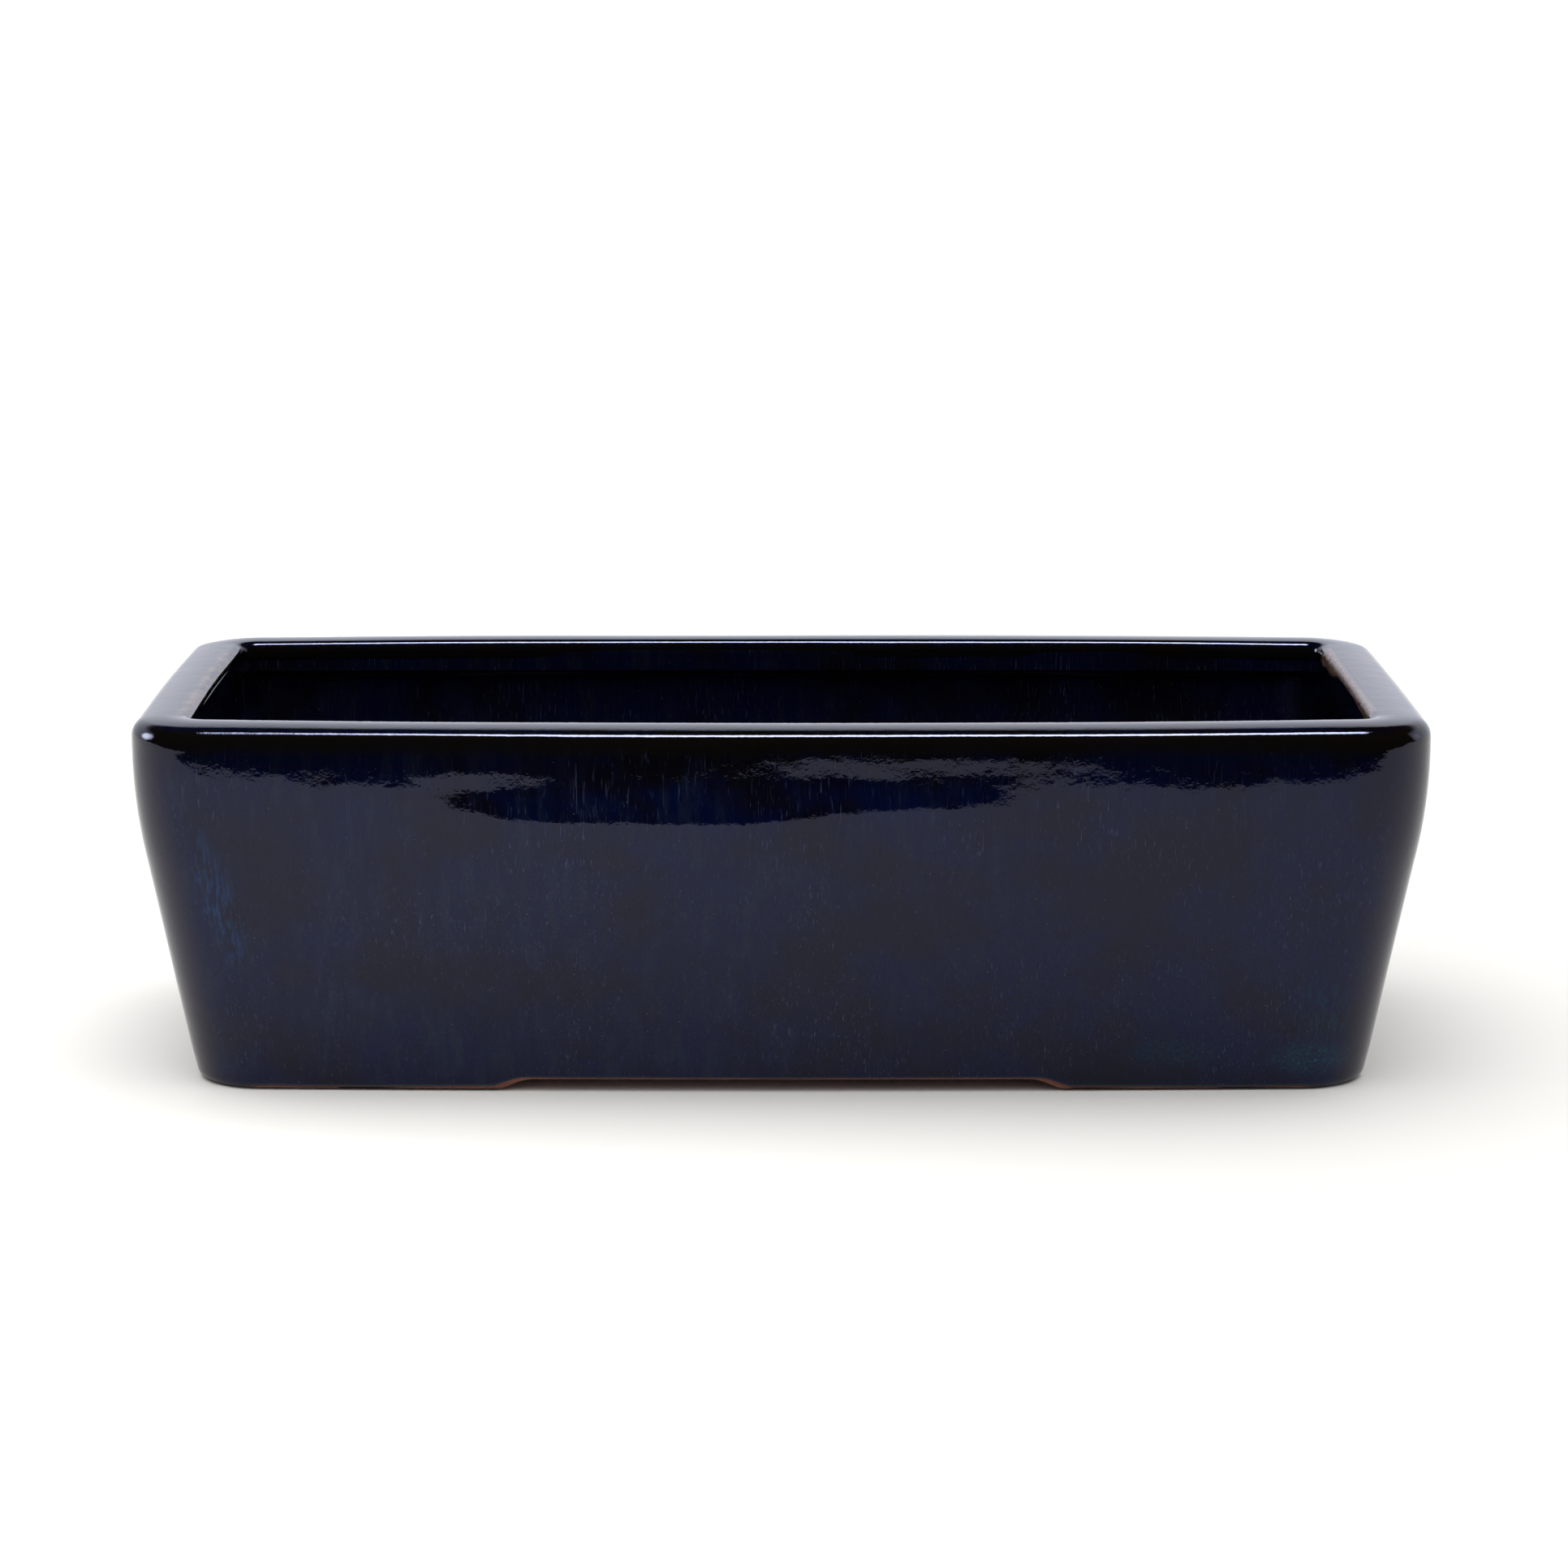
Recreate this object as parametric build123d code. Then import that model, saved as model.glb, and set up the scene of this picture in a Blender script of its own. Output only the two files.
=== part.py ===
from build123d import *
import math
import os

# Rectangular glazed bonsai pot, in millimetres.
# X runs along the pot, Y across it and Z up. The origin is on the surface that the pot stands on,
# under the middle of the pot.
#
# One clay body carries two coats of glaze, which are solids of their own: the outer coat covers the
# walls and the rim, and the inner coat covers the inside. Each drain hole has a plastic screen over
# it, held by a clip of bent wire whose legs go down the hole and fold out under the floor.

# --- Driving dimensions ---

# Whole pot, over the glaze
pot_length = 240.0
pot_width = 110.0
pot_height = 70.0
corner_radius = 14.0          # of the rim's outline in plan
long_wall_bow = 2.0           # how far the middle of a long wall stands out past its ends
short_wall_bow = 0.6

# Walls, from the rim down
straight_band = 6.0           # upright band under the rim's top
shoulder_radius = 110.0       # bends the wall from upright to leaning
wall_lean = 10.2              # degrees from upright, below the shoulder
wall_thickness = 8.0
floor_thickness = 7.0
floor_corner_radius = 4.0     # where the inside floor meets the walls

# Rim and its inner lip
rim_width = 10.8
rim_outer_radius = 3.0
rim_inner_radius = 2.0
lip_height = 5.5              # the lip overhangs the inside from here to the rim's top
lip_under_radius = 1.6

# Foot
foot_edge_radius = 2.0
foot_width = 13.0             # of the ring that carries the pot
floor_recess = 3.0            # how far the floor's underside is above the ground
recess_corner_radius = 8.0
arch_height = 2.4             # of the low arches between the corner feet
long_arch_length = 110.0
short_arch_length = 44.0
arch_ramp = 9.0               # length of the curved ramp at each end of an arch

# Glaze
glaze_thickness = 0.6
bare_foot_height = 1.2        # the outer coat stops this far above the ground
bare_arch_edge = 0.5          # and this far above an arch
rim_seam_depth = 1.4          # the two coats meet this far below the rim's top
glaze_pull_back = 0.8         # the inner coat stops this far from a hole's edge

# Holes in the floor
drain_diameter = 22.0
drain_spacing = 112.0
hole_edge_radius = 0.8
tie_hole_diameter = 5.0
tie_spacing_x = 164.0
tie_spacing_y = 40.0

# Drain screens
mesh_pitch = 3.6
mesh_strand = 1.0
mesh_thickness = 1.0
mesh_border = 1.5
screen_overlap = 4.0          # least reach of a screen past the hole's edge

# Screen clips
wire_diameter = 1.5
wire_clearance = 0.05
clip_loop_half_width = 5.5
clip_loop_radius = 4.0
clip_loop_overlap = 3.0       # how far a loop reaches past the hole's edge
clip_leg_bend = 1.5
clip_foot_overlap = 6.0       # how far a leg's folded end reaches past the hole's edge

# --- Derived values ---

lean = math.radians(wall_lean)
floor_top = floor_recess + floor_thickness
clay_floor_top = floor_top - glaze_thickness
lip_bottom = pot_height - lip_height
shoulder_z = pot_height - straight_band
past = 5.0                    # how far a cutting solid runs past what it cuts

# An even number of openings along each side, so that the legs go through the openings' middles.
least_screen = drain_diameter + 2 * screen_overlap - 2 * mesh_border + mesh_strand
mesh_openings = 2 * math.ceil(least_screen / (2 * mesh_pitch))
clip_loop_reach = drain_diameter / 2 + clip_loop_overlap
clip_foot_reach = drain_diameter / 2 + clip_foot_overlap
drain_centres = [-drain_spacing / 2, drain_spacing / 2]
tie_centres = [
    (x, y)
    for x in (-tie_spacing_x / 2, tie_spacing_x / 2)
    for y in (-tie_spacing_y / 2, tie_spacing_y / 2)
]


def lean_inset(depth):
    """How far the outer wall has come in, at a depth below the rim's top."""
    below = depth - straight_band
    arc_depth = shoulder_radius * math.sin(lean)
    if below <= 0:
        return 0.0
    if below <= arc_depth:
        return shoulder_radius - math.sqrt(shoulder_radius**2 - below**2)
    return shoulder_radius * (1 - math.cos(lean)) + (below - arc_depth) * math.tan(lean)


foot_inset = lean_inset(pot_height)
foot_half_length = pot_length / 2 - foot_inset
foot_half_width = pot_width / 2 - foot_inset


# --- Building blocks ---


def wall_block(half, other_half, bow, inset, bottom, top, upright):
    """A block behind one wall that faces +X: its outer face is the wall's, moved in by inset."""
    bow_radius = (other_half**2 + bow**2) / (2 * bow)
    back = -2 * half
    face_x = half - inset
    if upright:
        outline = Polyline(
            (back, bottom), (face_x, bottom), (face_x, top), (back, top), close=True
        )
    else:
        arc_radius = shoulder_radius - inset
        arc_centre_x = half - shoulder_radius
        arc_end = (
            arc_centre_x + arc_radius * math.cos(lean),
            shoulder_z - arc_radius * math.sin(lean),
        )
        arc_middle = (
            arc_centre_x + arc_radius * math.cos(lean / 2),
            shoulder_z - arc_radius * math.sin(lean / 2),
        )
        foot_x = arc_end[0] - (arc_end[1] - bottom) * math.tan(lean)
        outline = (
            Line((back, bottom), (foot_x, bottom))
            + Line((foot_x, bottom), arc_end)
            + ThreePointArc(arc_end, arc_middle, (face_x, shoulder_z))
            + Line((face_x, shoulder_z), (face_x, top))
            + Line((face_x, top), (back, top))
            + Line((back, top), (back, bottom))
        )
    face = Plane.XZ * make_face(outline)
    swing = 2 * math.degrees(math.asin(min(0.95, 1.4 * other_half / bow_radius)))
    axis = Axis((half - bow_radius, 0, 0), (0, 0, 1))
    return revolve(face, axis, revolution_arc=swing).rotate(axis, -swing / 2)


def pot_form(inset, bottom, top, upright=False):
    """The pot's outer form moved in by inset: four bowed walls and four rounded corners."""
    long_half = pot_length / 2
    short_half = pot_width / 2
    end = wall_block(long_half, short_half, short_wall_bow, inset, bottom, top, upright)
    side = wall_block(short_half, long_half, long_wall_bow, inset, bottom, top, upright)
    form = end & end.rotate(Axis.Z, 180) & side.rotate(Axis.Z, 90) & side.rotate(Axis.Z, -90)
    form = form.solid()
    corners = [
        edge
        for edge in form.edges()
        if edge.bounding_box().size.Z > 0.5 and abs(edge.center().X) > pot_length / 4
    ]
    return form.fillet(corner_radius - inset, corners)


def level_edges(solid, z):
    """The edges of a solid that lie level, at one height."""
    return [
        edge
        for edge in solid.edges()
        if abs(edge.center().Z - z) < 1e-3 and edge.bounding_box().size.Z < 1e-3
    ]


def inner_loop(solid, z, clear_of):
    """The edges at one height that lie inside the pot's outline by more than clear_of."""
    return [
        edge
        for edge in level_edges(solid, z)
        if max(
            abs(edge.center().X) - pot_length / 2,
            abs(edge.center().Y) - pot_width / 2,
        )
        < -clear_of
    ]


def cavity(grow):
    """The inside of the pot, made larger by grow: the chamber and the narrower mouth over it."""
    chamber = pot_form(wall_thickness - grow, floor_top - grow, lip_bottom + grow)
    floor_radius = min(floor_corner_radius, 0.7 * (corner_radius - wall_thickness)) + grow
    chamber = chamber.fillet(floor_radius, level_edges(chamber, floor_top - grow))
    overhang = rim_width - wall_thickness
    under_radius = min(lip_under_radius, 0.8 * overhang) + grow
    chamber = chamber.fillet(under_radius, level_edges(chamber, lip_bottom + grow))
    mouth = pot_form(rim_width - grow, lip_bottom - past, pot_height + past, upright=True)
    return (chamber + mouth).solid()


def outer_block(inset, top):
    """The pot as a solid block: rounded at the foot and along the rim's outer edge."""
    block = pot_form(inset, 0, top)
    block = block.fillet(foot_edge_radius - inset, level_edges(block, 0))
    return block.fillet(rim_outer_radius - inset, level_edges(block, top))


def hollow_pot(inset, top):
    """The block with the inside taken out and the rim's inner edge rounded."""
    pot = (outer_block(inset, top) - cavity(inset)).solid()
    inner_edge = inner_loop(pot, top, rim_width / 2)
    return pot.fillet(rim_inner_radius - inset, inner_edge)


def arch_cutter(length, height, reach, raised=0.0):
    """A low arch, cut right across the pot along Y: a flat top with a smooth ramp at each end."""
    half = length / 2
    flat = half - arch_ramp
    rise = height + raised
    out = half + raised
    ramp_middle = (half + flat + raised) / 2
    outline = (
        Spline(
            [(-out, 0), (-ramp_middle, rise / 2), (-flat, rise)],
            tangents=[(1, 0), (1, 0)],
        )
        + Line((-flat, rise), (flat, rise))
        + Spline(
            [(flat, rise), (ramp_middle, rise / 2), (out, 0)],
            tangents=[(1, 0), (1, 0)],
        )
        + Line((out, 0), (out, -past))
        + Line((out, -past), (-out, -past))
        + Line((-out, -past), (-out, 0))
    )
    return extrude(Plane.XZ * make_face(outline), reach, both=True)


def arches(raised=0.0):
    """The arches between the feet, under the long walls and under the short walls."""
    long_arch = arch_cutter(long_arch_length, arch_height, pot_width, raised)
    short_arch = arch_cutter(short_arch_length, arch_height, pot_length, raised)
    return [long_arch, short_arch.rotate(Axis.Z, 90)]


def floor_cylinders(diameter, centres):
    """Upright cylinders that run through the floor."""
    return [
        Pos(x, y, floor_top / 2) * Cylinder(diameter / 2, floor_top + 2 * past)
        for x, y in centres
    ]


# --- The pot ---


def make_clay_body(clay_pot):
    """The fired clay: feet and arches underneath, drain holes and tie holes in the floor."""
    recess_plan = RectangleRounded(
        2 * (foot_half_length - foot_width),
        2 * (foot_half_width - foot_width),
        recess_corner_radius,
    )
    recess = Pos(0, 0, -past) * extrude(recess_plan, floor_recess + past)
    body = clay_pot - recess
    for cutter in arches():
        body = body - cutter
    for hole in floor_cylinders(drain_diameter, [(x, 0) for x in drain_centres]):
        body = body - hole
    for hole in floor_cylinders(tie_hole_diameter, tie_centres):
        body = body - hole
    body = body.solid()
    drain_edges = [
        edge
        for edge in body.edges().filter_by(GeomType.CIRCLE)
        if abs(edge.radius - drain_diameter / 2) < 1e-3
        and min(abs(edge.center().Z - z) for z in (floor_recess, clay_floor_top)) < 1e-3
    ]
    return body.fillet(hole_edge_radius, drain_edges)


def make_glaze_coats(clay_pot):
    """The outer coat and the inner coat, which meet at the seam inside the rim."""
    glaze = hollow_pot(0.0, pot_height) - clay_pot
    below = Pos(0, 0, bare_foot_height - past) * Box(2 * pot_length, 2 * pot_width, 2 * past)
    glaze = glaze - below
    for cutter in arches(bare_arch_edge):
        glaze = glaze - cutter
    pulled = 2 * glaze_pull_back
    for hole in floor_cylinders(drain_diameter + pulled, [(x, 0) for x in drain_centres]):
        glaze = glaze - hole
    for hole in floor_cylinders(tie_hole_diameter + pulled, tie_centres):
        glaze = glaze - hole
    inside = pot_form(wall_thickness / 2, -past, pot_height - rim_seam_depth)
    return (glaze - inside), (glaze & inside)


# --- Drain screens and their clips ---


def make_screen(centre_x):
    """A square of plastic mesh that lies on the floor over a drain hole."""
    side = mesh_openings * mesh_pitch - mesh_strand + 2 * mesh_border
    hole = mesh_pitch - mesh_strand
    sheet = Box(side, side, mesh_thickness)
    holes = GridLocations(mesh_pitch, mesh_pitch, mesh_openings, mesh_openings) * Box(
        hole, hole, 3 * mesh_thickness
    )
    return Pos(centre_x, 0, floor_top + mesh_thickness / 2) * (sheet - holes)


def make_clip(centre_x):
    """A clip of bent wire: two loops on the screen, two legs down the hole, folded out below."""
    radius = wire_diameter / 2
    high = floor_top + mesh_thickness + radius + wire_clearance
    low = floor_recess - radius - wire_clearance
    leg_x = 1.5 * mesh_pitch
    leg_y = 0.5 * mesh_pitch
    half = [
        (-clip_foot_reach, leg_y, low),
        (-leg_x, leg_y, low),
        (-leg_x, leg_y, high),
        (-clip_loop_reach, clip_loop_half_width, high),
        (-clip_loop_reach, -clip_loop_half_width, high),
    ]
    other_half = [(-x, -y, z) for x, y, z in reversed(half)]
    bends = [clip_leg_bend] * 2 + [clip_loop_radius] * 4 + [clip_leg_bend] * 2
    path = FilletPolyline(*(half + other_half), radius=bends)
    section = Plane(origin=path @ 0, z_dir=path % 0) * Circle(radius)
    return Pos(centre_x, 0, 0) * sweep(section, path=path)


def main():
    os.makedirs("parts", exist_ok=True)
    clay_pot = hollow_pot(glaze_thickness, pot_height - glaze_thickness)
    outer_glaze, inner_glaze = make_glaze_coats(clay_pot)
    parts = {
        "clay_body": make_clay_body(clay_pot),
        "outer_glaze": outer_glaze,
        "inner_glaze": inner_glaze,
        "drain_screen_left": make_screen(drain_centres[0]),
        "drain_screen_right": make_screen(drain_centres[1]),
        "screen_clip_left": make_clip(drain_centres[0]),
        "screen_clip_right": make_clip(drain_centres[1]),
    }
    for name, shape in parts.items():
        export_step(shape, f"parts/{name}.step")
        print(name, len(shape.solids()), round(shape.volume), shape.bounding_box().size)


main()
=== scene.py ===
"""A glazed bonsai pot: two coats of glaze on fired clay, with a screen over each drain hole."""

import math

import bpy
import numpy as np
from bpy.props import FloatProperty, FloatVectorProperty, PointerProperty
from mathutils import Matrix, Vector


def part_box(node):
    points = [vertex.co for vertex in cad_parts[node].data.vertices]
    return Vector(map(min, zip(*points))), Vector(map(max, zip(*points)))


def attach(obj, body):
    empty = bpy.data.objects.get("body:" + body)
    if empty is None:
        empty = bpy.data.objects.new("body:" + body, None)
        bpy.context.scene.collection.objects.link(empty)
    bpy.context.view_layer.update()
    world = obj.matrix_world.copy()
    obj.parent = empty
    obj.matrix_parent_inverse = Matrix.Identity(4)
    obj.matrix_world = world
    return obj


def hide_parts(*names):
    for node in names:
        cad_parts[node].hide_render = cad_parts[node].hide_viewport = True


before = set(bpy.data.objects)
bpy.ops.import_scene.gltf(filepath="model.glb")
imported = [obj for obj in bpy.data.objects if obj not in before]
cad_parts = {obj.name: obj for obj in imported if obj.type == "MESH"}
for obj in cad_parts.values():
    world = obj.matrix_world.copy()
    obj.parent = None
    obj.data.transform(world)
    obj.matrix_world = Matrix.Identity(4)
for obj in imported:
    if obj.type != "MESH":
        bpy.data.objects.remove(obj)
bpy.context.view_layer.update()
glaze_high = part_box("outer_glaze")[1]

bl_info = {
    "name": "Bonsai Pot",
    "version": (1, 0, 0),
    "blender": (4, 5, 0),
    "location": "View3D > Sidebar > Bonsai Pot",
    "description": "Makes a glazed bonsai pot around its packed model, piece by piece",
    "category": "Add Mesh",
}

MM = 0.001
BODY = "root"


# --- What a user would change ---


def length(name, description, default):
    """A size in metres, shown in the scene's own unit."""
    return FloatProperty(
        name=name,
        description=description,
        default=default,
        unit="LENGTH",
        subtype="DISTANCE",
        precision=5,
    )


def colour(name, description, default):
    """A linear colour."""
    return FloatVectorProperty(
        name=name, description=description, default=default, size=3, subtype="COLOR", min=0, max=1
    )


class PotSizes(bpy.types.PropertyGroup):
    """The pot's own sizes."""

    half_length: length("Half length", "Half the pot's length over the glaze", glaze_high.x)
    half_width: length("Half width", "Half the pot's width over the glaze", glaze_high.y)
    height: length("Height", "Height of the rim over the ground", glaze_high.z)
    corner_radius: length("Corner radius", "Radius of the rim's outline in plan", 14 * MM)
    long_bow: length("Long wall bow", "How far a long wall's middle stands out", 2 * MM)
    short_bow: length("Short wall bow", "How far a short wall's middle stands out", 0.6 * MM)
    straight_band: length("Straight band", "Upright band under the rim", 6 * MM)
    shoulder_radius: length("Shoulder radius", "Bends the wall from upright to leaning", 110 * MM)
    wall_lean: FloatProperty(
        name="Wall lean",
        description="Lean of the wall from upright",
        default=math.radians(10.2),
        subtype="ANGLE",
    )
    rim_width: length("Rim width", "Width of the rim across its top", 10.8 * MM)
    rim_outer_radius: length("Rim outer radius", "Rounding of the rim's outer edge", 3 * MM)
    rim_inner_radius: length("Rim inner radius", "Rounding of the rim's inner edge", 2 * MM)
    foot_radius: length("Foot radius", "Rounding at the foot", 2 * MM)
    glaze_thickness: length("Glaze thickness", "Thickness of a coat of glaze", 0.6 * MM)
    bare_foot: length("Bare foot", "Height at which the glaze ends above the ground", 0.8 * MM)
    bare_arch: length("Bare arch edge", "Gap between the glaze and an arch", 0.35 * MM)
    arch_height: length("Arch height", "Height of the arches between the feet", 2.4 * MM)
    long_arch: length("Long arch", "Length of the arch under a long wall", 110 * MM)
    short_arch: length("Short arch", "Length of the arch under a short wall", 44 * MM)
    arch_ramp: length("Arch ramp", "Length of the ramp at each end of an arch", 9 * MM)


class PotColours(bpy.types.PropertyGroup):
    """The colours of the glaze, the clay, the mesh and the wire."""

    navy: colour("Navy", "Main colour of the glaze", (0.0010, 0.0030, 0.0230))
    # Cloud also darkens the whole inner coat, as painted shade inside the pot.
    cloud_and_shade: colour("Cloud", "Brown-black clouds in the glaze", (0.0024, 0.0018, 0.0034))
    run: colour("Run", "Broad pale runs in the glaze", (0.0062, 0.0092, 0.0220))
    hair: colour("Hair", "Fine pale hairs in the glaze", (0.0260, 0.0340, 0.0700))
    # Edge is also used for painted shade: darkened, in a band under the rim, and unchanged, in a wavy
    # band under the inner lip.
    edge: colour("Edge", "Olive-black where the glaze is thin on an edge", (0.0030, 0.0024, 0.0014))
    corner: colour("Corner", "Purple-brown down the corners", (0.0100, 0.0050, 0.0080))
    blue: colour("Blue", "Blue where the glaze has run down near a corner", (0.0080, 0.0330, 0.1000))
    teal: colour("Teal", "Teal patches where the glaze has pooled", (0.0020, 0.0200, 0.0380))
    rust: colour("Rust", "Brown where the glaze breaks at the rim's inner edge", (0.20, 0.12, 0.09))
    speck: colour("Speck", "Grey specks in the glaze", (0.16, 0.17, 0.20))
    sparkle: colour("Sparkle", "Bright points where the glaze has pooled", (0.02, 0.16, 0.20))
    clay: colour("Clay", "Bare fired clay", (0.22, 0.075, 0.048))
    grain: colour("Grain", "Pale grains in the clay", (0.32, 0.15, 0.10))
    # Foot line is the colour of the painted contact shadow along the bottom of the clay.
    foot_line: colour("Foot line", "Dark line where the clay meets the ground", (0.020, 0.009, 0.007))
    screen: colour("Screen", "Moulded mesh", (0.012, 0.012, 0.013))
    screen_grain: colour("Screen grain", "Paler grain of the moulded mesh", (0.03, 0.03, 0.032))
    wire: colour("Wire", "Anodised wire", (0.33, 0.17, 0.10))
    wire_marks: colour("Wire marks", "Darker marks drawn along the wire", (0.20, 0.10, 0.06))


# --- Shader maths ---


class Socket:
    """A number in a shader, which ordinary expressions turn into Math nodes."""

    def __init__(self, finish, socket):
        self.finish = finish
        self.socket = socket

    def __add__(self, other):
        return self.finish.math("ADD", self, other)

    def __radd__(self, other):
        return self.finish.math("ADD", other, self)

    def __sub__(self, other):
        return self.finish.math("SUBTRACT", self, other)

    def __rsub__(self, other):
        return self.finish.math("SUBTRACT", other, self)

    def __mul__(self, other):
        return self.finish.math("MULTIPLY", self, other)

    def __rmul__(self, other):
        return self.finish.math("MULTIPLY", other, self)

    def __pow__(self, other):
        return self.finish.math("POWER", self, other)


class Finish:
    """The node tree of one material or of the world."""

    def __init__(self, owner):
        owner.use_nodes = True
        self.owner = owner
        self.tree = owner.node_tree
        self.tree.nodes.clear()

    def node(self, kind, settings=None, inputs=None, output=0):
        """Adds a node: its settings first, then the values or links of its sockets."""
        made = self.tree.nodes.new(kind)
        for name, value in (settings or {}).items():
            setattr(made, name, value)
        for name, value in (inputs or {}).items():
            if isinstance(value, Socket):
                self.tree.links.new(value.socket, made.inputs[name])
            else:
                made.inputs[name].default_value = value
        return Socket(self, made.outputs[output]) if made.outputs else made

    def math(self, operation, first, second=0.0):
        return self.node("ShaderNodeMath", {"operation": operation}, {0: first, 1: second})

    def mix(self, factor, first, second):
        """Mixes two colours."""
        first, second = (
            value if isinstance(value, Socket) else (*value, 1) for value in (first, second)
        )
        return self.node(
            "ShaderNodeMix", {"data_type": "RGBA"}, {0: factor, 6: first, 7: second}, output=2
        )

    def smooth(self, value, low, high):
        """0 below low and 1 above high, with a smooth step between them."""
        return self.node(
            "ShaderNodeMapRange",
            {"interpolation_type": "SMOOTHSTEP"},
            {"Value": value, "From Min": low, "From Max": high},
        )

    def place(self, stretch=(1, 1, 1)):
        """The point on the object, in millimetres, with each axis stretched."""
        point = self.node("ShaderNodeTexCoord", output=3)
        scale = tuple(1 / MM / amount for amount in stretch)
        return self.node("ShaderNodeVectorMath", {"operation": "MULTIPLY"}, {0: point, 1: scale})

    def axes(self):
        """The point's X, Y and Z, in millimetres."""
        split = self.node("ShaderNodeSeparateXYZ", None, {0: self.place()}).socket.node
        return [Socket(self, split.outputs[axis]) for axis in range(3)]

    def noise(self, grain, detail=3, roughness=0.55, distortion=0.0):
        """Noise whose blobs measure grain millimetres: one number, or one for each axis."""
        sizes = grain if isinstance(grain, tuple) else (grain,) * 3
        return self.node(
            "ShaderNodeTexNoise",
            None,
            {
                "Vector": self.place(sizes),
                "Scale": 1.0,
                "Detail": detail,
                "Roughness": roughness,
                "Distortion": distortion,
            },
        )

    def surface(self, bump=None, **values):
        """Ends a material with a Principled shader."""
        inputs = {name.replace("_", " "): value for name, value in values.items()}
        if bump is not None:
            inputs["Normal"] = bump
        shader = self.node("ShaderNodeBsdfPrincipled", None, inputs)
        self.node("ShaderNodeOutputMaterial", None, {"Surface": shader})
        return self.owner

    def bump(self, height, depth, under=None):
        """A Bump node. height runs from 0 to 1, which stands for depth metres."""
        inputs = {"Height": height, "Distance": depth, "Strength": 1.0}
        if under is not None:
            inputs["Normal"] = under
        return self.node("ShaderNodeBump", None, inputs)


# --- Finishes ---

# How strongly both coats of glaze reflect, and the cool tint of what they reflect.
GLAZE_GLOSS = {"IOR": 1.41, "Specular_Tint": (0.66, 0.70, 1.0, 1.0)}

# Marks in the front wall's glaze, in millimetres: the middle of each, along the pot and up it, and
# its reach both ways.
BLUE_RUN = ((-104.0, 38.0), (4.5, 17.0))
TEAL_RUN = ((100.5, 15.5), (6.5, 9.5))
LARGE_POOL = ((98.5, 6.5), (9.5, 4.0))
SMALL_POOL = ((73.0, 7.5), (11.0, 3.5))
# How far the blue run moves outwards for each millimetre up, and the height where it isn't moved.
BLUE_RUN_LEAN = 0.22
BLUE_RUN_LEVEL = 40.0


def darker(tint, share):
    """A colour with only a share of its light."""
    return tuple(share * part for part in tint)


def soft_spot(finish, x, z, centre, reach):
    """A soft round spot on the front wall, 1 in its middle."""
    away = ((x - centre[0]) * (1 / reach[0])) ** 2.0 + ((z - centre[1]) * (1 / reach[1])) ** 2.0
    return 1 - finish.smooth(away, 0.0, 1.0)


def glaze_depths(finish, colours, x):
    """The colour inside the glaze: navy and brown-black clouds, pale runs, hairs and specks."""
    clouds = finish.smooth(finish.noise((22.0, 22.0, 17.0), detail=4, roughness=0.6), 0.40, 0.62)
    mottle = finish.smooth(finish.noise((1.6, 1.6, 3.0), detail=4, roughness=0.7), 0.30, 0.72)
    tint = finish.mix(clouds, colours.navy, colours.cloud_and_shade)
    kiln_side = 1 - finish.smooth(x, -70.0, 95.0) * 0.7
    runs = finish.smooth(finish.noise((2.4, 2.4, 17.0), detail=3, roughness=0.6), 0.42, 0.70)
    tint = finish.mix(runs * kiln_side * (1 - clouds * 0.75), tint, colours.run)
    tint = finish.mix(mottle * 0.45, tint, darker(colours.navy, 0.4))
    patches = finish.smooth(finish.noise((16.0, 16.0, 22.0), detail=2), 0.42, 0.66)
    for width, tall, bend in ((0.34, 5.2, 0.5), (0.28, 3.4, 0.9)):
        hairs = finish.smooth(
            finish.noise((width, width, tall), detail=1, roughness=0.5, distortion=bend), 0.64, 0.80
        )
        tint = finish.mix(hairs * (patches * 0.70 + 0.30), tint, colours.hair)
    cell = finish.node(
        "ShaderNodeTexVoronoi", None, {"Vector": finish.place((2.6, 2.6, 2.6)), "Scale": 1.0}
    )
    specks = 1 - finish.smooth(cell, 0.02, 0.055)
    return finish.mix(specks * 0.4, tint, colours.speck)


def glaze_ripples(finish):
    """The glaze's surface: slow waves, ripples, and a fine orange peel."""
    slow = finish.bump(finish.noise((7.0, 7.0, 4.0), detail=1), 0.050 * MM)
    ripples = finish.bump(finish.noise((1.7, 1.7, 1.3), detail=3, roughness=0.55), 0.016 * MM, slow)
    return finish.bump(finish.noise(0.8, detail=2), 0.0110 * MM, ripples)


def front_wall_runs(finish, colours, tint, x, y, z):
    """Adds the blue run at the front wall's left, and the teal run and pools at its right."""
    front = 1 - finish.smooth(y, -30.0, -10.0)
    streaks = finish.smooth(finish.noise((0.8, 0.8, 11.0), detail=3, roughness=0.6), 0.42, 0.68)
    leaning = x + (z - BLUE_RUN_LEVEL) * BLUE_RUN_LEAN
    blue_run = soft_spot(finish, leaning, z, *BLUE_RUN) * 0.7
    tint = finish.mix(front * blue_run * streaks, tint, colours.blue)
    teal_run = soft_spot(finish, x, z, *TEAL_RUN) * streaks
    speckle = finish.smooth(finish.noise(0.7, detail=3, roughness=0.8), 0.40, 0.62)
    pool = soft_spot(finish, x, z, *LARGE_POOL) + soft_spot(finish, x, z, *SMALL_POOL) * 0.45
    pooled = teal_run * 0.7 + pool * (speckle * 0.8 + 0.1)
    tint = finish.mix(front * pooled, tint, colours.teal)
    sparkle = finish.smooth(finish.noise(0.45, detail=2, roughness=0.7), 0.60, 0.72)
    return finish.mix(front * pool * sparkle * 0.5, tint, colours.sparkle)


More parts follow.
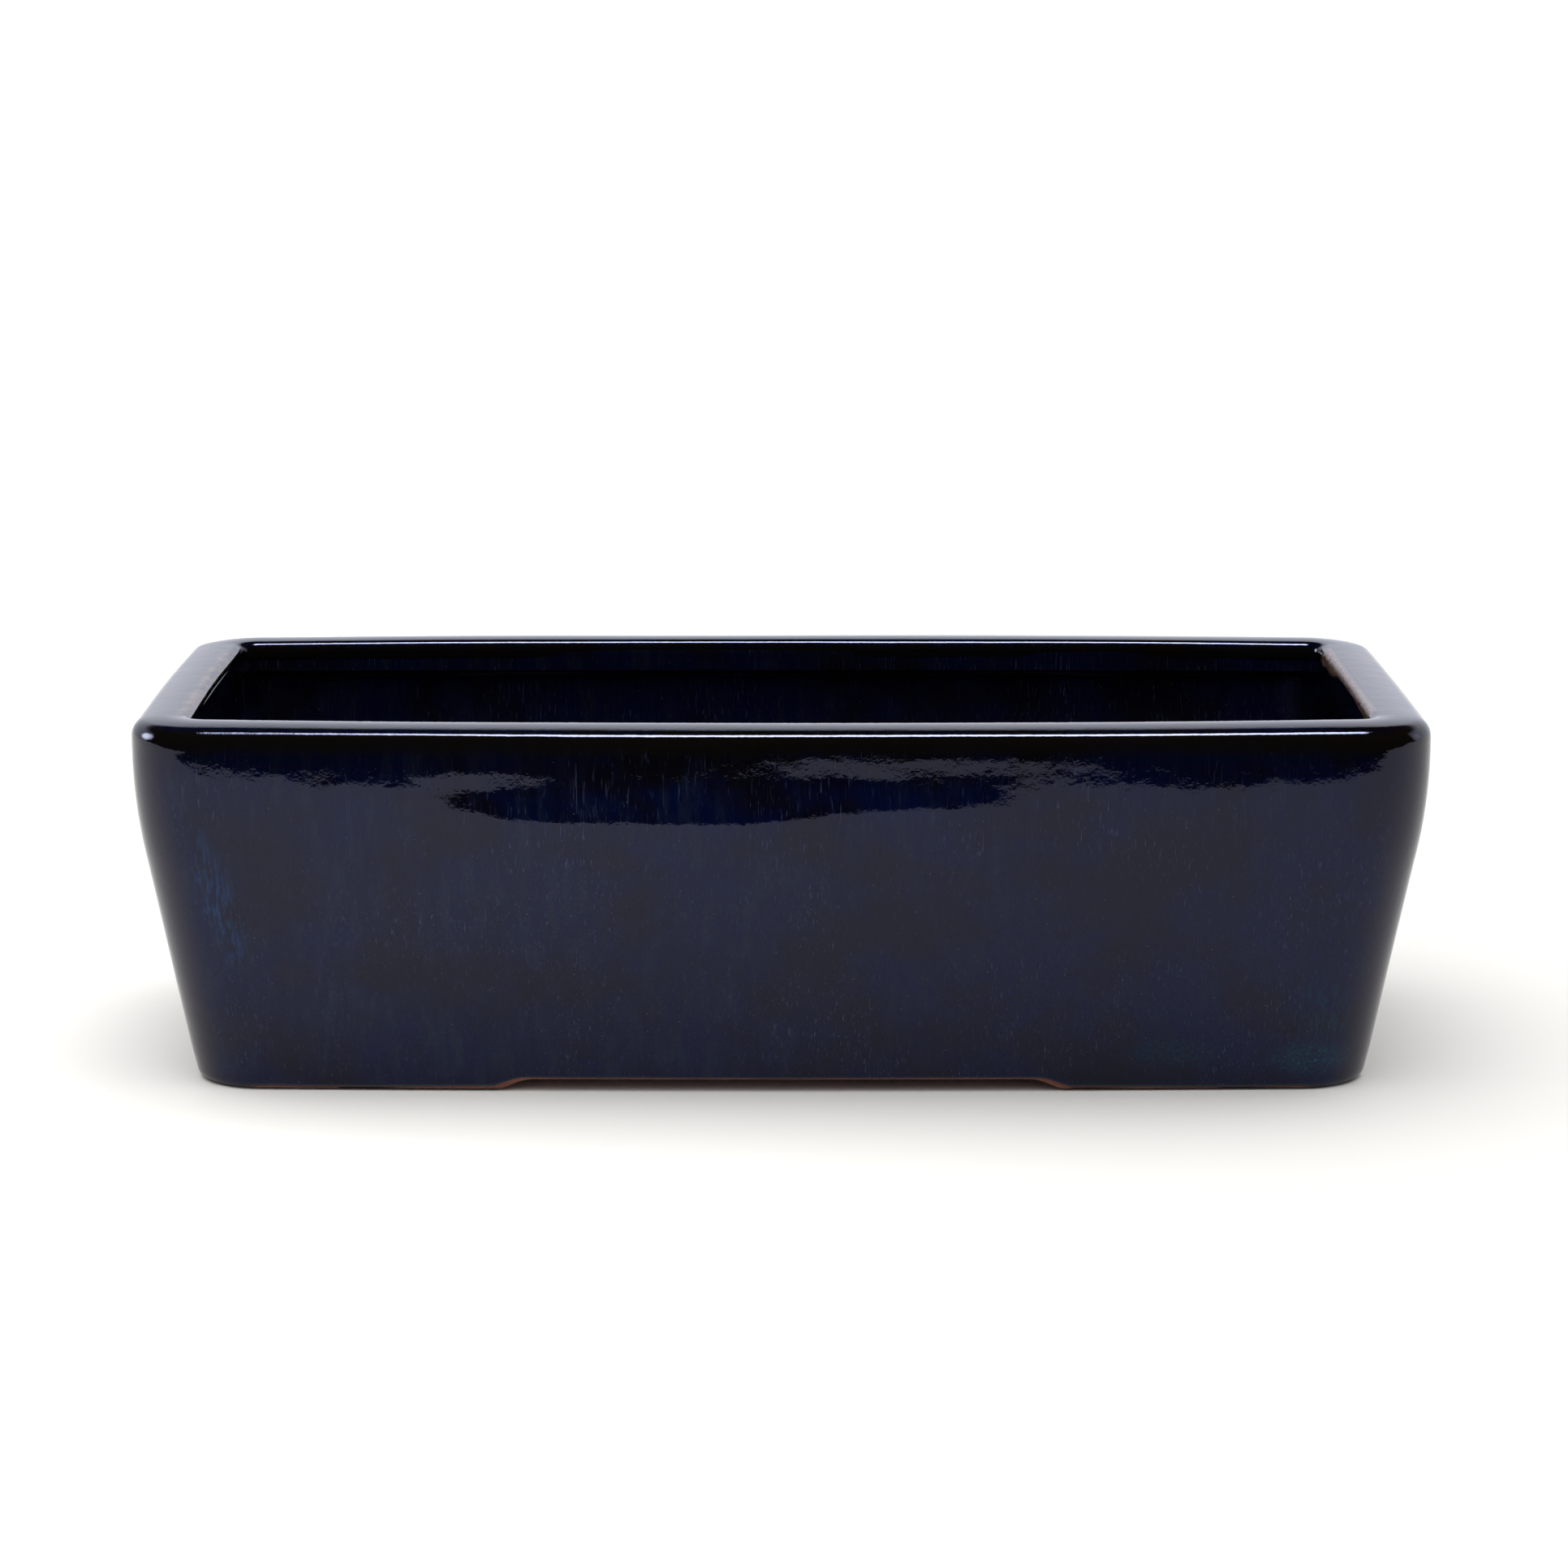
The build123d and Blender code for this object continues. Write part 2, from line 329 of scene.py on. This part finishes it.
def rim_breaks(finish, x, y, z, sizes):
    """Where the glaze breaks at the rim's inner edge: at its right, how it crawls, and at its left."""
    top, half_width = sizes.height / MM, sizes.half_width / MM
    inside = (sizes.half_length - sizes.rim_width) / MM
    sideways = finish.math("ABSOLUTE", y)
    crawl = finish.noise((0.9, 0.9, 0.9), detail=4, roughness=0.7)
    ragged = x + crawl * 1.6
    right = finish.smooth(ragged, inside - 0.6, inside + 0.1)
    right = right * (1 - finish.smooth(ragged, inside + 1.7, inside + 2.4))
    right = right * (1 - finish.smooth(sideways, half_width - 22.0, half_width - 17.0))
    right = right * finish.smooth(z, top - 4.0, top - 2.0)
    left = 1 - finish.smooth(finish.math("ABSOLUTE", x + (inside + 1.4)), 0.3, 1.8)
    left = left * (1 - finish.smooth(sideways, half_width - 19.0, half_width - 14.0))
    left = left * finish.smooth(finish.noise((3.0, 5.0, 3.0), detail=3), 0.42, 0.62)
    left = left * finish.smooth(z, top - 1.5, top - 0.4)
    return right, crawl, left


def outer_glaze_finish(colours, sizes):
    """The outer coat: olive-black under the rim and on it, painted shade in a band under the rim, brown
    corners, runs, pools and breaks.
    """
    finish = Finish(bpy.data.materials.new("outer_glaze"))
    x, y, z = finish.axes()
    top, half_length = sizes.height / MM, sizes.half_length / MM
    tint = glaze_depths(finish, colours, x)
    # Painted shade: a band under the rim, darkened towards near-black olive.
    painted_shade_under_rim = finish.smooth(z, top - 13.0, top - 5.0) * 0.55
    tint = finish.mix(painted_shade_under_rim, tint, darker(colours.edge, 0.3))
    outward = finish.math("ABSOLUTE", x) - z * 0.15 + 0.15 * top
    corners = outward + finish.noise((3.0, 3.0, 14.0)) * 3.0
    corners = finish.smooth(corners, half_length - 6.5, half_length - 1.0)
    tint = finish.mix(corners * 0.8, tint, colours.corner)
    tint = front_wall_runs(finish, colours, tint, x, y, z)
    ragged = z + finish.noise(5.0) * 2.0
    thin = finish.smooth(ragged, top - 4.5, top - 1.5)
    thin = thin * (1 - finish.smooth(ragged, top + 0.1, top + 0.9))
    tint = finish.mix(thin * 0.9, tint, colours.edge)
    broken, crawl, left_line = rim_breaks(finish, x, y, z, sizes)
    tint = finish.mix(broken * finish.smooth(crawl, 0.35, 0.55) * 0.8, tint, colours.rust)
    tint = finish.mix(left_line * 0.45, tint, colours.rust)
    return finish.surface(
        bump=finish.bump(broken * crawl, 0.12 * MM, glaze_ripples(finish)),
        Base_Color=tint,
        Roughness=finish.noise(3.0) * 0.02 + 0.015,
        **GLAZE_GLOSS,
    )


def inner_glaze_finish(colours, sizes):
    """The inner coat: navy darkened towards brown-black as painted shade inside the pot, with a wavy
    olive band of painted shade under the lip.
    """
    finish = Finish(bpy.data.materials.new("inner_glaze"))
    x, _, z = finish.axes()
    top = sizes.height / MM
    # Painted shade: the whole inner coat is mixed about a third of the way to brown-black.
    tint = finish.mix(0.35, glaze_depths(finish, colours, x), colours.cloud_and_shade)
    # Painted shade: a wavy olive-black band under the lip.
    wavy = z + finish.noise((14.0, 14.0, 5.0)) * 2.4
    line = finish.smooth(wavy, top - 7.0, top - 5.8) * (1 - finish.smooth(wavy, top - 5.4, top - 3.8))
    tint = finish.mix(line * 0.9, tint, colours.edge)
    return finish.surface(
        bump=glaze_ripples(finish),
        Base_Color=tint,
        Roughness=finish.noise(3.0) * 0.04 + 0.04,
        **GLAZE_GLOSS,
    )


def clay_finish(colours):
    """Bare red-brown clay: grains, darker flashes from the kiln, and a painted contact shadow along the
    ground.
    """
    finish = Finish(bpy.data.materials.new("fired_clay"))
    grain = finish.noise(0.5, detail=4, roughness=0.7)
    flash = finish.smooth(finish.noise(14.0, detail=3), 0.35, 0.7)
    tint = finish.mix(flash * 0.6, colours.clay, darker(colours.clay, 0.45))
    tint = finish.mix(finish.smooth(grain, 0.45, 0.7) * 0.35, tint, colours.grain)
    # Painted contact shadow: the clay darkens to the foot line colour in its lowest millimetre.
    height = finish.axes()[2] + finish.noise(4.0) * 0.3
    tint = finish.mix((1 - finish.smooth(height, 0.25, 0.75)) * 0.85, tint, colours.foot_line)
    return finish.surface(
        bump=finish.bump(grain, 0.12 * MM), Base_Color=tint, Roughness=grain * 0.2 + 0.7
    )


def screen_finish(colours):
    """Black moulded plastic with a fine grain."""
    finish = Finish(bpy.data.materials.new("screen_plastic"))
    grain = finish.noise(0.25, detail=3)
    tint = finish.mix(grain * 0.5, colours.screen, colours.screen_grain)
    return finish.surface(
        bump=finish.bump(grain, 0.02 * MM), Base_Color=tint, Roughness=grain * 0.2 + 0.4
    )


def wire_finish(colours):
    """Soft brown anodised wire, with drawing marks along it."""
    finish = Finish(bpy.data.materials.new("clip_wire"))
    marks = finish.noise((3.0, 0.15, 0.15), detail=3)
    tint = finish.mix(marks * 0.5, colours.wire, colours.wire_marks)
    return finish.surface(
        bump=finish.bump(marks, 0.01 * MM), Base_Color=tint, Metallic=1.0, Roughness=marks * 0.15 + 0.25
    )


def wear(node, finish):
    """Gives a CAD node its finish."""
    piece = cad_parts[node]
    piece.data.materials.clear()
    piece.data.materials.append(finish)
    for face in piece.data.polygons:
        face.material_index = 0


# --- The pot's outline and profile ---

# The slope of the rim's top beside its outer rounding, and beside its inner one.
CROWN_OUT = math.radians(12)
CROWN_IN = math.radians(-7)
# How far round towards the ground the foot's rounding starts. Straight down is 90 degrees.
FOOT_START = math.radians(80)
# How far the profile goes down inside the rim, below its inner rounding.
LIP_DEPTH = 2.5 * MM
# The profile's lowest stretch, as a share of its length, and its last stretch. Rings in the first
# shift to the coat's bottom edge, and rings in the last to its seam.
LOW_SHARE = 0.12
SEAM_STRETCH = 4.5 * MM


def ring_layout(spacing, sizes):
    """Where each point of a ring lies: its side's share of each half, and its normal in plan."""
    straight_x = 2 * (sizes.half_length - sizes.corner_radius)
    straight_y = 2 * (sizes.half_width - sizes.corner_radius)
    corner = sizes.corner_radius * math.pi / 2
    count_x, count_y, count_c = (max(4, round(run / spacing)) for run in (straight_x, straight_y, corner))
    parts = []
    for turn in range(4):
        count = count_x if turn % 2 == 0 else count_y
        share = np.linspace(-1, 1, count, endpoint=False)
        angle = -math.pi / 2 + turn * math.pi / 2
        along = np.array([-math.sin(angle), math.cos(angle)])
        out = np.array([math.cos(angle), math.sin(angle)])
        side = share[:, None] * along + out
        parts.append(np.hstack([side, np.tile(out, (count, 1))]))
        bend = np.linspace(angle, angle + math.pi / 2, count_c, endpoint=False)
        corner_at = np.tile(along + out, (count_c, 1))
        parts.append(np.hstack([corner_at, np.cos(bend)[:, None], np.sin(bend)[:, None]]))
    return np.vstack(parts).T


def lean_inset(depth, sizes):
    """How far the wall has come in at a depth below the rim's top."""
    below = np.maximum(depth - sizes.straight_band, 0)
    arc_depth = sizes.shoulder_radius * math.sin(sizes.wall_lean)
    on_arc = np.minimum(below, arc_depth)
    arc = sizes.shoulder_radius - np.sqrt(sizes.shoulder_radius**2 - on_arc**2)
    return arc + (below - on_arc) * math.tan(sizes.wall_lean)


def arc_points(start, radius, first, last, step):
    """Points along an arc that starts at a point and turns from one direction to another."""
    count = max(3, round(abs(last - first) * radius / step))
    turn = np.linspace(first, last, count + 1)
    sense = math.copysign(radius, first - last)
    inset = start[0] + sense * (math.sin(first) - np.sin(turn))
    height = start[1] + sense * (np.cos(turn) - math.cos(first))
    return list(zip(inset, height))[1:]


def outer_profile(sizes, step):
    """The outer coat's profile, as inset, height and plan radius, from the foot to inside the rim."""
    lean = sizes.wall_lean
    foot = sizes.foot_radius
    foot_inset = float(lean_inset(sizes.height, sizes))
    centre = foot_inset - foot * math.tan(lean) + foot / math.cos(lean)
    turn = np.linspace(FOOT_START, lean, max(6, round(foot * 1.3 / step)))
    points = [(centre - foot * math.cos(a), foot * (1 - math.sin(a))) for a in turn]
    outer, inner = sizes.rim_outer_radius, sizes.rim_inner_radius
    flat = sizes.rim_width - outer * (1 - math.sin(CROWN_OUT)) - inner * (1 + math.sin(CROWN_IN))
    crown = flat / (math.sin(CROWN_OUT) - math.sin(CROWN_IN))
    shoulder = sizes.height - crown * (1 - math.cos(CROWN_OUT)) - outer * math.cos(CROWN_OUT)
    count = round((shoulder - points[-1][1]) / step)
    for height in np.linspace(points[-1][1], shoulder, count + 1)[1:]:
        points.append((float(lean_inset(sizes.height - height, sizes)), height))
    wall_end = len(points)
    points += arc_points(points[-1], outer, math.pi / 2, CROWN_OUT, step)
    points += arc_points(points[-1], crown, CROWN_OUT, CROWN_IN, step)
    points += arc_points(points[-1], inner, CROWN_IN, -math.pi / 2, step)
    lip_top = points[-1]
    points += [(lip_top[0], lip_top[1] - drop) for drop in np.arange(step, LIP_DEPTH, step)]
    inset, height = np.array(points).T
    wall = np.arange(len(points)) < wall_end
    turned_in = np.where(wall, inset - lean_inset(sizes.height - height, sizes), inset)
    # The leaning walls meet in a tighter corner towards the foot.
    tighter = (0.5 + 1.1 * (1 - np.clip(height / sizes.height, 0, 1))) * MM
    return inset, height, sizes.corner_radius - turned_in - tighter


def outline(layout, inset, radius, sizes):
    """The plan of a ring: bowed sides and rounded corners, moved in by inset."""
    half_x = sizes.half_length - inset
    half_y = sizes.half_width - inset
    x = layout[0] * (half_x - radius) + layout[2] * radius
    y = layout[1] * (half_y - radius) + layout[3] * radius
    end_x, end_y = x / half_x, y / half_y
    return x - sizes.short_bow * end_y**2 * end_x, y - sizes.long_bow * end_x**2 * end_y


def arch_rise(distance, arch, sizes):
    """Height of an arch at a distance from its middle: flat, with a smooth ramp at its end."""
    ramp = np.clip((arch / 2 - np.abs(distance)) / sizes.arch_ramp, 0, 1)
    return sizes.arch_height * ramp**2 * (3 - 2 * ramp)


def waves(points, seed, reach, count=6):
    """Smooth hand-made unevenness between -1 and 1, the same on each run."""
    dice = np.random.default_rng(seed)
    total = np.zeros(points.shape[:-1])
    for _ in range(count):
        direction = dice.normal(size=3)
        direction *= dice.uniform(0.6, 1.4) / (np.linalg.norm(direction) * reach)
        total += np.sin(points @ direction * 2 * math.pi + dice.uniform(0, 2 * math.pi))
    return total / math.sqrt(2 * count)


# Where the maker's hands left the front wall flatter or hollower: the middle of each mark along the
# pot and up it, its reach both ways, in millimetres, and how much it changes the wall's slope.
HAND_MARKS = (
    (-28, 55.5, 34, 4.0, -0.13),
    (14, 57.0, 30, 3.2, -0.10),
    (30, 63.7, 38, 1.7, 0.035),
    (-54, 60.3, 12, 1.8, 0.03),
    (-80, 60.0, 16, 2.0, -0.020),
    (84, 60.5, 22, 2.2, -0.025),
)


def hand_marks(x, z):
    """How far the front wall stands out because of the marks: their slopes added up from the rim."""
    out = np.zeros_like(x)
    for mark_x, mark_z, reach_x, reach_z, slope in HAND_MARKS:
        across = np.exp(-(np.abs(x / MM - mark_x) / reach_x) ** 4)
        rise = np.array([math.erf(value) for value in ((mark_z - z / MM) / reach_z).ravel()])
        down = 0.5 * (1 + rise.reshape(z.shape))
        out -= across * down * slope * reach_z * math.sqrt(math.pi) * MM
    return out * np.clip((z / MM - 8) / 30, 0, 1)


def skin(layout, profile, sizes, stations, bottom, seam, depth):
    """A grid of points on the outer coat, or at a depth inside it, from its bottom edge to its seam.

    stations are lengths along the profile; the first and last stretch run to bottom and seam.
    """
    inset, height, radius = profile
    run = lengths_along(inset, height)
    low, high = run[-1] * LOW_SHARE, run[-1] - SEAM_STRETCH
    place = np.repeat(stations[:, None], len(bottom), axis=1)
    to_foot = bottom + (low - bottom) * place / low
    to_seam = high + (seam - high) * (place - high) / (run[-1] - high)
    place = np.where(place < low, to_foot, np.where(place > high, to_seam, place))
    inward, upward = np.gradient(inset, run), np.gradient(height, run)
    ring_inset = np.interp(place, run, inset) + depth * np.interp(place, run, upward)
    ring_height = np.interp(place, run, height) - depth * np.interp(place, run, inward)
    ring_radius = np.maximum(np.interp(place, run, radius) - depth, 1 * MM)
    x, y = outline(layout[:, None, :], ring_inset, ring_radius, sizes)
    return np.stack([x, y, ring_height], axis=-1)


def lengths_along(inset, height):
    """The length along the profile at each of its points."""
    return np.concatenate([[0], np.cumsum(np.hypot(np.diff(inset), np.diff(height)))])


def closed_grid(name, grid, finish):
    """A closed mesh from a grid of points whose rings close on themselves, and last meets first."""
    rings, points = grid.shape[:2]
    ring, point = np.meshgrid(np.arange(rings), np.arange(points), indexing="ij")
    after_ring, after_point = (ring + 1) % rings, (point + 1) % points
    faces = np.stack(
        [
            ring * points + point,
            ring * points + after_point,
            after_ring * points + after_point,
            after_ring * points + point,
        ],
        axis=-1,
    ).reshape(-1, 4)
    mesh = bpy.data.meshes.new(name)
    mesh.from_pydata(grid.reshape(-1, 3).tolist(), [], faces.tolist())
    mesh.shade_smooth()
    mesh.materials.append(finish)
    piece = bpy.data.objects.new(name, mesh)
    bpy.context.scene.collection.objects.link(piece)
    return piece


def bottom_edge(layout, foot_line, sizes):
    """The height at which the coat ends, all round: above the ground, and above each arch."""
    foot_x, foot_y, _ = foot_line.T
    arch = np.where(
        np.abs(layout[3]) > 0.99,
        arch_rise(foot_x, sizes.long_arch, sizes),
        np.where(np.abs(layout[2]) > 0.99, arch_rise(foot_y, sizes.short_arch, sizes), 0),
    )
    uneven = waves(foot_line, 3, 60 * MM) * 0.25 * MM + waves(foot_line, 4, 9 * MM) * 0.07 * MM
    corner = np.abs(layout[2] * layout[3]) * 2
    bare = sizes.bare_foot * (1 - 0.92 * corner) + uneven * (1 - corner)
    return np.maximum(bare, arch + sizes.bare_arch + 0.3 * uneven)


def seam_edge(layout, foot_line, end, sizes):
    """The length along the profile at which the coat ends inside the rim, jagged at the right."""
    seam = end - 1.1 * MM + waves(foot_line, 5, 30 * MM) * 0.2 * MM
    jagged = (foot_line[:, 0] > 0.9 * sizes.half_length - 10 * MM) * (np.abs(layout[2]) > 0.9)
    return seam - jagged * (0.25 + 0.25 * waves(foot_line, 6, 4 * MM)) * MM


def ring_stations(end):
    """The lengths along the profile at which the coat has its rings, closest at the rim."""
    low, upper, rim = LOW_SHARE * end, 0.5 * end, end - 17 * MM
    return np.concatenate(
        [
            np.linspace(0, low, 12, endpoint=False),
            np.linspace(low, upper, 22, endpoint=False),
            np.linspace(upper, rim, 36, endpoint=False),
            np.linspace(rim, end, 54),
        ]
    )


def hand_made(outer, layout, sizes):
    """How far the shining skin is from an even coat: its waves, its hand marks and its rim's lift."""
    x, y, z = np.moveaxis(outer, -1, 0)
    on_wall = np.clip((sizes.height - z) / (4 * MM), 0, 1) * np.clip(z / (6 * MM), 0, 1)
    front = np.clip(-layout[3], 0, 1) ** 2 * (y < 0)
    out = (waves(outer, 11, 70 * MM) * 0.25 + 0.15) * MM * on_wall
    out += hand_marks(x, z) * front
    ends = (x / sizes.half_length) ** 2
    back = 0.5 + 0.5 * np.sin(np.clip(y / sizes.half_width, -1, 1) * math.pi / 2)
    lift = waves(outer, 12, 80 * MM) * 0.12
    lift = lift + (0.25 + 0.35 * ends) * (1 - back) + (0.75 - 0.15 * ends) * back
    lift = lift * MM
    moved = [out * layout[2], out * layout[3], lift * np.clip(z / sizes.height, 0, 1) ** 3]
    return np.stack(moved, axis=-1)


def outer_coat_grid(sizes):
    """The outer coat of glaze: its shining skin, and the skin that lies on the clay."""
    layout = ring_layout(1.2 * MM, sizes)
    profile = outer_profile(sizes, 0.3 * MM)
    inset, height, _ = profile
    run = lengths_along(inset, height)
    foot_x, foot_y = outline(layout, inset[0], sizes.corner_radius, sizes)
    foot_line = np.stack([foot_x, foot_y, 0 * foot_x], axis=-1)
    low_wall = height < 20 * MM
    bottom = np.interp(bottom_edge(layout, foot_line, sizes), height[low_wall], run[low_wall])
    seam = seam_edge(layout, foot_line, run[-1], sizes)
    stations = ring_stations(run[-1])
    outer = skin(layout, profile, sizes, stations, bottom, seam, 0.0)
    outer += hand_made(outer, layout, sizes)
    inner = skin(layout, profile, sizes, stations[::6], bottom, seam, 0.92 * sizes.glaze_thickness)
    return np.concatenate([outer, inner[::-1]])


# --- Operators ---


class BONSAI_OT_outer_glaze(bpy.types.Operator):
    """Make the outer coat of glaze, over the walls and the rim"""

    bl_idname = "bonsai.outer_glaze"
    bl_label = "Outer glaze"

    def execute(self, context):
        sizes = context.scene.pot_sizes
        finish = outer_glaze_finish(context.scene.pot_colours, sizes)
        coat = closed_grid("outer_glaze_coat", outer_coat_grid(sizes), finish)
        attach(coat, BODY)
        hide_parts("outer_glaze")
        return {"FINISHED"}


class BONSAI_OT_inner_glaze(bpy.types.Operator):
    """Finish the inner coat of glaze"""

    bl_idname = "bonsai.inner_glaze"
    bl_label = "Inner glaze"

    def execute(self, context):
        finish = inner_glaze_finish(context.scene.pot_colours, context.scene.pot_sizes)
        wear("inner_glaze", finish)
        return {"FINISHED"}


class BONSAI_OT_clay_body(bpy.types.Operator):
    """Finish the fired clay body"""

    bl_idname = "bonsai.clay_body"
    bl_label = "Clay body"

    def execute(self, context):
        wear("clay_body", clay_finish(context.scene.pot_colours))
        return {"FINISHED"}


class BONSAI_OT_drain_screens(bpy.types.Operator):
    """Finish the two drain screens"""

    bl_idname = "bonsai.drain_screens"
    bl_label = "Drain screens"

    def execute(self, context):
        finish = screen_finish(context.scene.pot_colours)
        for node in ("drain_screen_left", "drain_screen_right"):
            wear(node, finish)
        return {"FINISHED"}


class BONSAI_OT_screen_clips(bpy.types.Operator):
    """Finish the two wire clips"""

    bl_idname = "bonsai.screen_clips"
    bl_label = "Screen clips"

    def execute(self, context):
        finish = wire_finish(context.scene.pot_colours)
        for node in ("screen_clip_left", "screen_clip_right"):
            wear(node, finish)
        return {"FINISHED"}


# --- Stage ---

# The table's left, right, front and back edges, in metres. The reflection of the front edge is the
# lower edge of the dark band on the front wall.
TABLE_EDGES = (-4.0, 4.0, -0.307, 14.0)
# Painted light: the table is paler on its left and darker on its right, standing in for more light
# falling on the left.
TABLE_LEFT_LIT_TINT = (0.87, 0.87, 0.86)
TABLE_RIGHT_SHADED_TINT = (0.71, 0.71, 0.705)

# The camera's place in metres, its pitch below level in degrees, and its lens and sensor in millimetres.
CAMERA_PLACE = (0.0006, -0.847, 0.217)
CAMERA_PITCH = 11.18
CAMERA_LENS = 102.1
CAMERA_SENSOR = 36

# The soft window's place, the point that it faces and its side, in metres, and its power in watts.
WINDOW_PLACE = (1.0, 0.15, 0.30)
WINDOW_TARGET = (0.12, 0, 0.07)
WINDOW_SIDE = 0.3
WINDOW_POWER = 0.15

# How bright each part of the studio is to glossy surfaces, and last, all of it to the camera.
BACKDROP = 1.10
OVERHEAD = 44.0
LEFT_GLOW = 13.0
ROOM = 0.008
SEEN_BY_CAMERA = 0.975


def soft_window():
    """A square soft light on the right, which adds no light to matt surfaces."""
    lamp = bpy.data.lights.new("soft_window", "AREA")
    lamp.size = WINDOW_SIDE
    lamp.energy = WINDOW_POWER
    light = bpy.data.objects.new("soft_window", lamp)
    light.location = WINDOW_PLACE
    towards = Vector(WINDOW_TARGET) - light.location
    light.rotation_euler = towards.to_track_quat("-Z", "Y").to_euler()
    light.visible_diffuse = False
    light.visible_camera = False
    bpy.context.scene.collection.objects.link(light)


def table_top():
    """A pale table that ends a little in front of the pot, with painted light that makes it palest on its
    left.
    """
    left, right, front, back = TABLE_EDGES
    mesh = bpy.data.meshes.new("table_top")
    corners = [(left, front, 0), (right, front, 0), (right, back, 0), (left, back, 0)]
    mesh.from_pydata(corners, [], [(0, 1, 2, 3)])
    finish = Finish(bpy.data.materials.new("pale_table"))
    x = finish.axes()[0]
    grain = finish.noise(8.0) * 6.0
    # Painted light: the table's colour fades from the lit left to the shaded right.
    painted_shade_to_right = finish.smooth(x + grain, -110.0, 110.0)
    tint = finish.mix(painted_shade_to_right, TABLE_LEFT_LIT_TINT, TABLE_RIGHT_SHADED_TINT)
    mesh.materials.append(finish.surface(Base_Color=tint, Roughness=0.9, Specular_IOR_Level=0.0))
    table = bpy.data.objects.new("table_top", mesh)
    bpy.context.scene.collection.objects.link(table)


def studio_world():
    """A dome for matt surfaces. Glossy ones see a backdrop, a light overhead and a dark room."""
    world = bpy.data.worlds.new("studio")
    bpy.context.scene.world = world
    world.cycles.sampling_method = "NONE"
    finish = Finish(world)
    # A direction's x points to the right, its y away from the camera, and its z up.
    direction = finish.node("ShaderNodeTexCoord", output=0)
    split = finish.node("ShaderNodeSeparateXYZ", None, {0: direction}).socket.node
    x, y, z = (Socket(finish, split.outputs[axis]) for axis in range(3))
    backdrop = finish.smooth(y, 0.08, 0.16) * (1 - finish.smooth(z, 0.45, 0.62))
    across = 1 - finish.smooth(((x - 0.03) * 4.6) ** 2.0, 0.0, 1.0)
    overhead = 1 - finish.smooth(finish.math("ABSOLUTE", y), 0.05, 0.17)
    overhead = across * overhead * finish.smooth(z, 0.6, 0.8)
    aside = (x + 0.92) ** 2.0 + (y - 0.20) ** 2.0 + (z - 0.30) ** 2.0
    left_glow = 1 - finish.smooth(aside, 0.0, 0.07)
    path = finish.node("ShaderNodeLightPath").socket.node
    from_camera = Socket(finish, path.outputs["Is Camera Ray"])
    from_matt = Socket(finish, path.outputs["Is Diffuse Ray"])
    dome = finish.smooth(z, -0.2, 0.0) * 0.30 + finish.math("MAXIMUM", z) ** 3.0 * 3.1
    strength = backdrop * BACKDROP + overhead * OVERHEAD + left_glow * LEFT_GLOW + ROOM
    strength = strength * (1 - from_matt) + dome * from_matt
    strength = strength * (1 - from_camera) + from_camera * SEEN_BY_CAMERA
    tint = finish.mix(from_matt, (0.93, 0.96, 1.08), (1.01, 1.0, 0.98))
    tint = finish.mix(from_camera, tint, (1, 1, 1))
    shader = finish.node("ShaderNodeBackground", None, {"Color": tint, "Strength": strength})
    finish.node("ShaderNodeOutputWorld", None, {"Surface": shader})


class BONSAI_OT_stage(bpy.types.Operator):
    """Set up the table, the lights and the camera"""

    bl_idname = "bonsai.stage"
    bl_label = "Stage"

    def execute(self, context):
        table_top()
        studio_world()
        soft_window()
        camera = bpy.data.objects.new("camera", bpy.data.cameras.new("camera"))
        camera.data.lens = CAMERA_LENS
        camera.data.sensor_width = CAMERA_SENSOR
        camera.location = CAMERA_PLACE
        camera.rotation_euler = (math.radians(90 - CAMERA_PITCH), 0, 0)
        context.scene.collection.objects.link(camera)
        context.scene.camera = camera
        context.scene.view_settings.view_transform = "Standard"
        return {"FINISHED"}


class BONSAI_PT_panel(bpy.types.Panel):
    """Lists the steps that make the pot"""

    bl_idname = "BONSAI_PT_panel"
    bl_label = "Bonsai Pot"
    bl_space_type = "VIEW_3D"
    bl_region_type = "UI"
    bl_category = "Bonsai Pot"

    def draw(self, context):
        for operator in OPERATORS:
            self.layout.operator(operator.bl_idname)


OPERATORS = (
    BONSAI_OT_clay_body,
    BONSAI_OT_outer_glaze,
    BONSAI_OT_inner_glaze,
    BONSAI_OT_drain_screens,
    BONSAI_OT_screen_clips,
    BONSAI_OT_stage,
)
CLASSES = (PotSizes, PotColours, *OPERATORS, BONSAI_PT_panel)


def register():
    for cls in CLASSES:
        bpy.utils.register_class(cls)
    bpy.types.Scene.pot_sizes = PointerProperty(type=PotSizes)
    bpy.types.Scene.pot_colours = PointerProperty(type=PotColours)


def unregister():
    del bpy.types.Scene.pot_colours
    del bpy.types.Scene.pot_sizes
    for cls in reversed(CLASSES):
        bpy.utils.unregister_class(cls)


def main():
    register()
    for operator in OPERATORS:
        space, name = operator.bl_idname.split(".")
        getattr(getattr(bpy.ops, space), name)()


if __name__ == "__main__":
    main()
